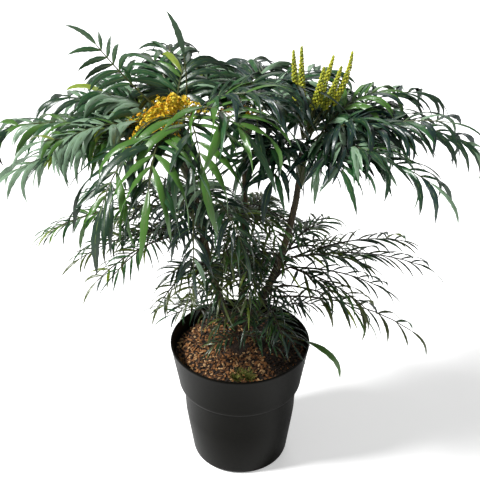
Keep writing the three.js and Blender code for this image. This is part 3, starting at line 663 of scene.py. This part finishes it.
def grow_frond(mass, base, out, k, ring=None):
    """One frond of a mass: its stalk, its leaflets in pairs and the one at its tip."""
    share = 0 if mass.count == 1 else k / (mass.count - 1) - 0.5
    seed = mass.seed + k + 1
    up_or_down = (k % 2) * 2 - 1 if mass.count > 1 else 0
    azimuth = mass.toward + mass.fan * share
    rise = mass.rise + mass.step * up_or_down
    length = mass.length
    if ring:
        seed_step, turn, lift, shorter = ring
        seed += seed_step
        azimuth += turn * (1 if k % 2 else -1)
        rise += lift
        length *= shorter
    low = mass.tones == "shade"
    petiole = LONG_PETIOLES.get(mass.name, LOW_PETIOLE if low else PETIOLE)
    frond = SimpleNamespace(leaf=mass.leaf, pairs=mass.pairs, hang=mass.hang, seed=seed,
                            petiole=petiole)
    line = stalk_line(
        base,
        azimuth + AZIMUTH_CHANCE * scatter(seed, 1),
        rise + RISE_CHANCE * scatter(seed, 2),
        length * (1 + LENGTH_CHANCE * scatter(seed, 3)),
        mass.droop,
        math.radians(90 if mass.name in EDGEWISE else 0),
    )
    root = clasping_root(mass, base, out, k)
    grow_stalk(stalks, frond, line, root, int(low))
    for i in range(frond.pairs + 1):
        for hand in (0,) if i == frond.pairs else (-1, 1):
            plan = plan_leaf(frond, line, i, hand)
            if not has_room(plan):
                continue
            bundle = leaf_bundles[leaf_tone(mass, seed, i, hand)]
            bundle.add(blade_points(plan), BLADE_FACES)
            bundle.nodes.add(mass.name)
            midribs.add(midrib_points(plan), MIDRIB_FACES)


for mass in MASSES:
    mass_hub, way_out = mass_base(mass)
    for k in range(mass.count):
        grow_frond(mass, mass_hub, way_out, k)
    rings = 0 if mass.name in SINGLE else 1 if mass.name in SPARSE else 2
    for ring in INNER_RINGS[:rings]:
        for k in range(max(mass.count - 1, 1)):
            grow_frond(mass, mass_hub, way_out, k, ring)
    stalks.nodes.add(mass.name)
    midribs.nodes.add(mass.name)
print("leaflets:", len(midribs.points))

# %% Leaf and stalk pieces
for tone, bundle in leaf_bundles.items():
    joined("leaves_" + tone, bundle, [leaf_finishes[tone]])
joined("leaf_midribs", midribs, [midrib_finish])
joined("leaf_stalks", stalks, [stalk_finish, brown_stalk_finish])

# %% [markdown]
# The flowers. On the left the racemes are open: loose spikes of small golden cups that hang round
# the bough's tip. On the right they are still in bud and stand up like candles, each a spiral of
# round buds that shrink towards the top. A floret or a bud has only a dozen or two faces, since
# there are hundreds of them, and each next one is turned by the golden angle, as on a real spike.

# %% Flower spikes
GOLDEN_ANGLE = math.radians(137.5)
# Each spike is a length, an azimuth and a rise.
OPEN_RACEMES = [
    (66, 200, 8), (72, 216, -4), (82, 234, 10), (84, 250, 8), (80, 266, 24), (76, 282, 8),
    (48, 136, 24), (60, 300, 50), (76, 224, -20), (64, 190, -8), (64, 276, 56), (50, 330, 34),
    (62, 246, 36),
]
CANDLES = [
    # these bend upwards, so each also has a droop below nought
    (112, 180, 79, -8), (110, 100, 75, -8), (106, 24, 66, -8), (96, -20, 73, -8), (100, 6, 55, -22),
    (122, 18, 40, -46),
]
BACK_RACEMES = [(40, 200, 20), (38, 262, 4), (36, 320, 6), (34, 236, 40)]
TIP_SPUR_LENGTH = 9


def spur_tip(bough, toward, lean):
    """Where a bough's flower spikes spread from, on a short spur at its end."""
    return bough_point(bough, 1) + heading(toward, lean) * TIP_SPUR_LENGTH


def floret(size):
    """A small cup of six outer and six inner petals round a blunt centre, opening along +Z."""
    points, faces = [(0, 0, 0)], []
    for row, (reach, lift, wide, turn) in enumerate([(1.0, 0.55, 0.5, 0), (0.62, 0.8, 0.36, 0.5)]):
        for k in range(6):
            a = (k + turn) * math.pi / 3
            ahead = np.array([math.cos(a), math.sin(a), 0])
            aside = np.array([-math.sin(a), math.cos(a), 0])
            start = len(points)
            for out, off, up in ((0.6, wide, 0.45), (1, 0, 1), (0.6, -wide, 0.45)):
                points.append(ahead * reach * out + aside * off + (0, 0, lift * up))
            faces.append((0, start + 2, start + 1, start))
    return np.array(points, dtype=float) * size, faces


def bud(size):
    """A round bud of two rings between two poles, standing along +Z."""
    points, faces = [(0, 0, -0.9)], []
    for height, reach in ((-0.35, 0.92), (0.45, 0.78)):
        points += [(reach * math.cos(k * math.pi / 3), reach * math.sin(k * math.pi / 3), height)
                   for k in range(6)]
    points.append((0, 0, 1.1))
    for k in range(6):
        n = (k + 1) % 6
        faces += [(0, 1 + n, 1 + k), (1 + k, 1 + n, 7 + n, 7 + k), (7 + k, 7 + n, 13)]
    return np.array(points) * size, faces


def turned(points, axis):
    """Points made about +Z, turned so that +Z lies along an axis."""
    side = unit(np.cross(axis, (0.31, 0.17, 0.93)))
    return points @ np.array([side, np.cross(axis, side), axis])


def spiral(line, first, spacing, per_step):
    """Places round a spike: the share along it, the place, its axis and the way out."""
    count = int((1 - first) * line.length / spacing * per_step)
    for n in range(count):
        s = first + (1 - first) * (n + 0.5) / count
        spot = station(line, s)
        turn = n * GOLDEN_ANGLE
        yield n, s, spot, spot.side * math.cos(turn) + spot.under * math.sin(turn)


# %% Open racemes
flowers = Bundle()
flowers.nodes = {"left_blossom"}


def grow_raceme(base, length, azimuth, rise, seed):
    """An open raceme: florets on short stalks, and a few buds where it is youngest."""
    line = stalk_line(base, azimuth, rise, length, droop=50)
    tube(flowers, line.points, np.linspace(1.0, 0.4, STALK_STEPS + 1), 2)
    for n, s, spot, out in spiral(line, first=0.12, spacing=2.1, per_step=1.1):
        chance = scatter(seed + n, 5)
        way = unit(out + spot.tangent * (0.5 + 0.3 * chance))
        reach = (6.4 - 4.2 * s) * (1 + 0.2 * chance)
        place = spot.at + way * reach
        tube(flowers, [spot.at, place], [0.35, 0.3], 2)
        if s > 0.86:
            shape, faces = bud(1.5)
        else:
            shape, faces = floret(3.9 - 1.5 * s + 0.4 * chance)
        flowers.add(turned(shape, way) + place, faces, int(chance <= -0.2))


for n, shape in enumerate(OPEN_RACEMES):
    grow_raceme(spur_tip("left", 210, 62), *shape, 400 + 40 * n)
for n, shape in enumerate(BACK_RACEMES):
    grow_raceme(spur_tip("back", 240, 60), *shape, 900 + 40 * n)
joined("open_flowers", flowers, [petal_finish, deep_petal_finish, bud_finish],
       crease=80)

# %% Candles of buds
candles = Bundle()
candles.nodes = {"right_racemes"}


def grow_candle(base, length, azimuth, rise, droop, seed):
    """A spike in bud: round buds packed in a spiral, smaller towards its tip, some of them greener.
    """
    line = stalk_line(base, azimuth, rise, length, droop)
    tube(candles, line.points, np.linspace(1.6, 0.8, STALK_STEPS + 1), 2)
    for n, s, spot, out in spiral(line, first=0.45, spacing=3.6, per_step=5.4):
        chance = scatter(seed + n, 9)
        body = 5.8 * (1 - s) ** 0.6 + 0.5
        way = unit(out + spot.tangent * (0.8 + 0.5 * s))
        shape, faces = bud((2.8 - 1.5 * s) * (1 + 0.14 * chance))
        candles.add(turned(shape, way) + spot.at + out * body * 0.82, faces, int(chance > 0.35))


for n, shape in enumerate(CANDLES):
    grow_candle(spur_tip("right", 150, 88), *shape, 1300 + 300 * n)
joined("bud_candles", candles, [bud_finish, young_bud_finish, stalk_finish],
       crease=60)

# %% [markdown]
# The stems. A curve with a round bevel is the quickest way to a tapering limb: its two ends and
# their handles are the four points of the cubic, and each end has its own radius. The trunk is a
# circle, extruded and scaled from its flared foot to its fork. Voxel remeshing then melts the four
# into one skin, and the bark is pressed into it as real relief: cracks along the stem and the
# narrow rings that old leafstalks leave behind.

# %% Boughs as curves, and the trunk
def open_disc(name, sides, **placing):
    """A filled circle, opened for editing with all of it selected."""
    bpy.ops.mesh.primitive_circle_add(vertices=sides, fill_type="NGON", **placing)
    disc = bpy.context.object
    disc.name = disc.data.name = name
    bpy.ops.object.mode_set(mode="EDIT")
    bpy.ops.mesh.select_all(action="SELECT")
    return disc


def close_piece():
    """Turn every face outwards, leave editing and write the piece's place into its points."""
    bpy.ops.mesh.select_all(action="SELECT")
    bpy.ops.mesh.normals_make_consistent(inside=False)
    bpy.ops.object.mode_set(mode="OBJECT")
    bpy.ops.object.transform_apply()


# Height, middle in x and y, and radii in x and y.
TRUNK_STATIONS = [
    (172, -1, 2, 15, 13.5), (175, -0.8, 2, 12.4, 11.4), (180, -0.5, 2.2, 10.6, 10),
    (190, 0, 2.5, 10.2, 9.6), (199, 0, 2.6, 11.2, 10.6), (205, 0, 2.7, 12.4, 11.6),
    (209, 0, 2.7, 9.6, 9),
]


def bough_limb(name):
    """A bough as a bevelled curve, turned into a mesh."""
    first, first_handle, last_handle, last = [Vector(p) * MM for p in BOUGHS[name]]
    bpy.ops.curve.primitive_bezier_curve_add()
    limb = bpy.context.object
    curve = limb.data
    start, end = curve.splines[0].bezier_points
    for point, place, handle, radius in ((start, first, first_handle, BOUGH_RADII[name]),
                                         (end, last, last_handle, BOUGH_TIP_RADIUS)):
        point.handle_left_type = point.handle_right_type = "FREE"
        point.co = place
        point.handle_left = handle
        point.handle_right = handle
        point.radius = radius
    curve.bevel_depth = MM
    curve.bevel_resolution = 4
    curve.resolution_u = 48
    curve.use_fill_caps = True
    bpy.ops.object.convert(target="MESH")
    return limb


def trunk_limb():
    """The trunk, extruded upwards from its flared foot."""
    z, x, y, wide, deep = TRUNK_STATIONS[0]
    trunk = open_disc("trunk", 32, radius=MM, location=(x * MM, y * MM, z * MM),
                      scale=(wide, deep, 1))
    for lower, upper in zip(TRUNK_STATIONS, TRUNK_STATIONS[1:]):
        step = [(upper[i] - lower[i]) * MM for i in (1, 2, 0)]
        bpy.ops.mesh.extrude_region_move(TRANSFORM_OT_translate={"value": step})
        bpy.ops.transform.resize(value=(upper[3] / lower[3], upper[4] / lower[4], 1))
    close_piece()
    return trunk


limbs = [trunk_limb(), *map(bough_limb, BOUGHS)]
alone(limbs[0])
for limb in limbs[1:]:
    limb.select_set(True)
bpy.ops.object.join()
stems = bpy.context.object
stems.name = stems.data.name = "bark"
print("limbs joined:", len(limbs))

# %% Bark relief
BARK_VOXEL = 0.0011
CRACK_DEPTH, SCAR_DEPTH, FLUTE_DEPTH, GRAIN_DEPTH = 0.7, 0.45, 1.3, 0.2
SCAR_SPACING, FLUTE_HEIGHT = 8.5, 14

skin = stems.modifiers.new("one_skin", "REMESH")
skin.mode = "VOXEL"
skin.voxel_size = BARK_VOXEL
bpy.ops.object.modifier_apply(modifier=skin.name)


def bark_height(x, y, z):
    """How far the bark stands out, in millimetres: cracks, leaf scars and the foot's flutes."""
    crack = min(abs(noise.noise(Vector((x * 0.4, y * 0.4, z * 0.07)))), 0.35) / 0.35 - 1
    shift = 3 * noise.noise(Vector((x * 0.1, y * 0.1, z * 0.02)))
    scar = max(0.0, math.cos(2 * math.pi * (z + shift) / SCAR_SPACING)) ** 6
    foot = max(0.0, 1 - (z - TRUNK_FOOT) / FLUTE_HEIGHT)
    flute = math.sin(5 * math.atan2(y - 2, x + 1)) * foot
    grain = noise.noise(Vector((x * 1.3, y * 1.3, z * 0.5)))
    return crack * CRACK_DEPTH + SCAR_DEPTH * scar + FLUTE_DEPTH * flute + GRAIN_DEPTH * grain


normals = [v.normal.copy() for v in stems.data.vertices]
for vertex, normal in zip(stems.data.vertices, normals):
    flat = Vector((normal.x, normal.y, 0))
    vertex.co += flat * bark_height(*(vertex.co / MM)) * MM

bark_finish = plain_finish("stem_bark", (120, 100, 66), 0.85)
tan_patches = pattern(bark_finish, (1, 1, 0.25), Scale=160.0, Detail=5.0, Roughness=0.7)
add_colours(bark_finish, tan_patches.outputs["Fac"],
            (0.3, (20, 16, 9)), (0.48, (48, 40, 23)), (0.62, (80, 67, 41)), (0.75, (116, 100, 67)))
bark_grain = pattern(bark_finish, (1, 1, 0.3), Scale=900.0, Detail=4.0)
add_bump(bark_finish, bark_grain.outputs["Fac"], 0.0006, 0.7)
stems.data.materials.clear()
stems.data.materials.append(bark_finish)
bpy.ops.object.shade_smooth_by_angle(angle=math.radians(60))
finished(stems, ["trunk", "bough_left", "bough_right", "bough_back"])

# %% [markdown]
# The pot is injection moulded, in a near-black plastic with a satin shine. It is one circle,
# extruded and scaled up the outside, over the rolled rim and down the inside, so its wall has its
# real thickness. The step under the deep collar gets short bevelled runs, which catch a pale line
# of light.

# %% Pot
POT_FLOOR = 3
COLLAR_FOOT = 122
# Radius and height, up the outside and down the inside.
POT_OUTSIDE = [
    (62.2, 0), (65.0, 0.5), (66.9, 2.4), (68, 6), (74.7, 56), (77, 75), (79, COLLAR_FOOT - 4),
    (79.4, COLLAR_FOOT - 2.6), (80.4, COLLAR_FOOT - 1.9), (83.4, COLLAR_FOOT - 1.1),
    (84.9, COLLAR_FOOT + 0.3), (85.6, COLLAR_FOOT + 2.6), (86, COLLAR_FOOT + 6), (95.0, 184.4),
    (95.5, 185.6), (95.5, 187.0), (94.8, 187.9),
]
POT_INSIDE = [
    (93.7, 188), (92.9, 187.4), (92.6, 186.4), (83.6, COLLAR_FOOT + 6.4),
    (81.2, COLLAR_FOOT + 1.6), (76.6, COLLAR_FOOT - 1.6),
    (74.6, 75), (72.3, 56), (65.9, 8), (62.0, POT_FLOOR),
]

pot = open_disc("nursery_pot", 160, radius=POT_OUTSIDE[0][0] * MM)
pot_profile = POT_OUTSIDE + POT_INSIDE
for (inner, low), (outer, high) in zip(pot_profile, pot_profile[1:]):
    bpy.ops.mesh.extrude_region_move(TRANSFORM_OT_translate={"value": (0, 0, (high - low) * MM)})
    bpy.ops.transform.resize(value=(outer / inner, outer / inner, 1))
close_piece()
bpy.ops.object.shade_smooth_by_angle(angle=math.radians(40))

pot_finish = plain_finish("pot_plastic", (10, 10, 9), 0.4, Specular_IOR_Level=0.07,
                          Specular_Tint=(1, 0.97, 0.88, 1))
dust = pattern(pot_finish, (1, 1, 0.5), Scale=26.0, Detail=6.0, Roughness=0.65)
add_colours(pot_finish, dust.outputs["Fac"],
            (0.35, (7, 7, 5)), (0.6, (10, 10, 8)), (0.8, (18, 17, 14)))
moulding = pattern(pot_finish, Scale=900.0, Detail=3.0)
add_bump(pot_finish, moulding.outputs["Fac"], 0.0003, 0.4)
pot.data.materials.append(pot_finish)
finished(pot, ["pot"])

# %% [markdown]
# The potting mix is heaped a little in the middle and covered with bark chips. The bed is a disc,
# inset ring by ring, then moved up and down by noise. The chips are small faceted lumps, strewn on
# a sunflower spiral so that they cover evenly without lining up, in four shades from tan to black.
# On the right most of its chips are the black ones: painted shade, for the shadow that the
# crown casts on the mix.

# %% Bed of potting mix
SOIL_RADIUS, SOIL_EDGE = 89.3, 168.4
BED_RINGS = 30


def soil_height(x, y):
    """The height of the heaped bed at a place, in millimetres."""
    share = min(math.hypot(x, y) / SOIL_RADIUS, 1)
    return SOIL_EDGE + (SOIL_HEIGHT - SOIL_EDGE) * math.cos(share * math.pi / 2) ** 0.7


bed = open_disc("potting_mix", 120, radius=SOIL_RADIUS * MM, location=(0, 0, SOIL_EDGE * MM))
for _ in range(BED_RINGS):
    bpy.ops.mesh.inset(thickness=SOIL_RADIUS / (BED_RINGS + 1) * MM)
close_piece()
for vertex in bed.data.vertices:
    x, y, _ = vertex.co / MM
    crumbs = 0.9 * noise.noise(Vector((x * 0.25, y * 0.25, 0.5)))
    crumbs += 0.5 * noise.noise(Vector((x, y, 4)))
    vertex.co.z = (soil_height(x, y) + crumbs) * MM

mix_finish = plain_finish("potting_mix", (62, 44, 28), 0.95)
mix_patches = pattern(mix_finish, Scale=260.0, Detail=5.0, Roughness=0.7)
add_colours(mix_finish, mix_patches.outputs["Fac"],
            (0.3, (14, 10, 6)), (0.5, (38, 25, 15)), (0.7, (70, 46, 26)))
add_bump(mix_finish, mix_patches.outputs["Fac"], 0.002, 0.9)
bed.data.materials.append(mix_finish)
finished(bed, ["soil"])

# %% Bark chips
CHIP_COUNT = 1900
CHIP_COLOURS = [(142, 96, 54), (92, 60, 34), (184, 146, 102), (34, 23, 14)]
UNSHADED_SHARES, PAINTED_SHADE_SHARES = [0.33, 0.34, 0.15, 0.18], [0.06, 0.2, 0.02, 0.72]
PAINTED_SHADE_FROM = 24
TRUNK_CLEARING = 13
CHIP_JITTER, CHIP_TILT = 1.2, 0.45
rng = np.random.default_rng(11)

bpy.ops.mesh.primitive_ico_sphere_add(subdivisions=1, radius=1)
lump = bpy.context.object
chip_points = np.array([v.co[:] for v in lump.data.vertices])
chip_faces = [tuple(f.vertices) for f in lump.data.polygons]
bpy.data.objects.remove(lump)

chips = Bundle()
for n in range(CHIP_COUNT):
    away = SOIL_RADIUS * 0.985 * math.sqrt((n + 0.5) / CHIP_COUNT)
    turn = n * GOLDEN_ANGLE
    x = away * math.cos(turn) + rng.normal(0, CHIP_JITTER)
    y = away * math.sin(turn) + rng.normal(0, CHIP_JITTER)
    if math.hypot(x + 1, y - 2) < TRUNK_CLEARING or math.hypot(x, y) > SOIL_RADIUS - 1.5:
        continue
    size = np.array([rng.uniform(1.6, 3.9), rng.uniform(1.1, 2.4), rng.uniform(0.6, 1.4)])
    shape = chip_points * size * rng.uniform(0.75, 1.2, (len(chip_points), 1))
    upright = unit(np.array([rng.normal(0, CHIP_TILT), rng.normal(0, CHIP_TILT), 1]))
    sideways = unit(np.cross(upright, [math.cos(turn * 7), math.sin(turn * 7), 0.01]))
    shape = shape @ np.array([sideways, np.cross(upright, sideways), upright])
    lift = soil_height(x, y) + rng.uniform(0.2, 1.3)
    # painted shade: on the right the chips are dealt mostly black, standing for the crown's shadow
    shares = PAINTED_SHADE_SHARES if x + 0.4 * y > PAINTED_SHADE_FROM else UNSHADED_SHARES
    chips.add(shape + (x, y, lift), chip_faces, int(rng.choice(4, p=shares)))


def chip_finish(n, colour):
    """Dry bark: a plain colour and a rough, flaky surface."""
    material = plain_finish(f"bark_chip_{n + 1}", colour, 0.9)
    flakes = pattern(material, Scale=700.0, Detail=3.0)
    add_bump(material, flakes.outputs["Fac"], 0.0008, 0.7)
    return material


joined("bark_chips", chips, [chip_finish(n, c) for n, c in enumerate(CHIP_COLOURS)],
       crease=20)

# %% [markdown]
# A tuft of moss grows on the mix at the front. It is a clump of short blades, each a bent sliver
# that leans out from the middle.

# %% Moss
# Each place is an x, a y and how far the clump spreads.
MOSS_PLACES = [(4, -60, 13), (12, -66, 8), (-6, -66, 7)]
moss = Bundle()
for centre_x, centre_y, spread in MOSS_PLACES:
    for _ in range(16 * spread):
        x, y = rng.normal(0, spread / 2.6, 2)
        place = (centre_x + x, centre_y + y)
        if math.hypot(*place) > SOIL_RADIUS - 3:
            continue
        root = np.array([*place, soil_height(*place) + 0.6])
        lean = np.array([x, y, 0]) / spread + rng.normal(0, 0.25, 3)
        tall = rng.uniform(2.5, 5.5)
        bend = root + (lean * 0.3 + (0, 0, 0.6)) * tall
        end = root + (lean * 0.9 + (0, 0, 0.9)) * tall
        wide = unit(np.array([-lean[1], lean[0], 0.01])) * 0.55
        moss.add(np.array([root - wide, root + wide, bend + wide, bend - wide, end]),
                 [(0, 1, 2, 3), (3, 2, 4)], int(rng.random() < 0.4))
moss_green = plain_finish("moss_green", (82, 92, 30), 0.8)
moss_yellow = plain_finish("moss_yellow", (122, 120, 50), 0.8)
joined("moss", moss, [moss_green, moss_yellow])

# %% [markdown]
# The light comes from the upper left and a little in front, large enough to be soft but small
# enough that the leaves throw shadows into the crown. Two weak lamps fill it from the right and
# the back. The rest is a dim pale room and a plain floor. The camera sees both brighter than they
# light the plant: the room white, the shadow on the floor faint.

# %% Floor and light
FLOOR_SIZE, FLOOR_PLACE, FLOOR_GLOW = 14, (0, 3, -0.0005), 0.4

bpy.ops.mesh.primitive_plane_add(size=FLOOR_SIZE, location=FLOOR_PLACE)
floor = bpy.context.object
floor.name = "floor"
floor_finish = plain_finish("pale_floor", (250, 250, 250), 0.9)
floor_shader = shader_of(floor_finish)
floor_shader.inputs["Emission Color"].default_value = (FLOOR_GLOW, FLOOR_GLOW, FLOOR_GLOW, 1)
seen = node(floor_finish, "ShaderNodeLightPath").outputs["Is Camera Ray"]
floor_finish.node_tree.links.new(seen, floor_shader.inputs["Emission Strength"])
floor.data.materials.append(floor_finish)

PLANT_MIDDLE = Vector((0, 0, 0.4))
SUN_PLACE, SUN_STRENGTH, SUN_SPREAD = (-1.8, -0.45, 2.3), 4.9, 13
ROOM_STRENGTH = 0.26
LAMPS = [
    # name, place, size, power
    ("fill", (1.6, -1.9, 1.3), 1.8, 3),
    ("rim", (0.3, 2.1, 2.1), 1.4, 12),
]


def hang_lamp(name, kind, place):
    """A lamp that points at the middle of the plant."""
    lamp = bpy.data.objects.new(name, bpy.data.lights.new(name, kind))
    lamp.location = place
    lamp.rotation_euler = (PLANT_MIDDLE - Vector(place)).to_track_quat("-Z", "Y").to_euler()
    scene.collection.objects.link(lamp)
    return lamp.data


sun = hang_lamp("key", "SUN", SUN_PLACE)
sun.energy = SUN_STRENGTH
sun.angle = math.radians(SUN_SPREAD)
for name, place, size, power in LAMPS:
    lamp = hang_lamp(name, "AREA", place)
    lamp.shape = "DISK"
    lamp.size = size
    lamp.energy = power

room = bpy.data.worlds.new("pale_room")
room.use_nodes = True
backdrop = room.node_tree.nodes["Background"]
backdrop.inputs["Color"].default_value = (1, 1, 1, 1)
room_seen = node(room, "ShaderNodeLightPath").outputs["Is Camera Ray"]
strength = node(room, "ShaderNodeMapRange", To_Min=ROOM_STRENGTH, To_Max=1)
room.node_tree.links.new(room_seen, strength.inputs["Value"])
room.node_tree.links.new(strength.outputs["Result"], backdrop.inputs["Strength"])
scene.world = room
scene.view_settings.view_transform = "Standard"
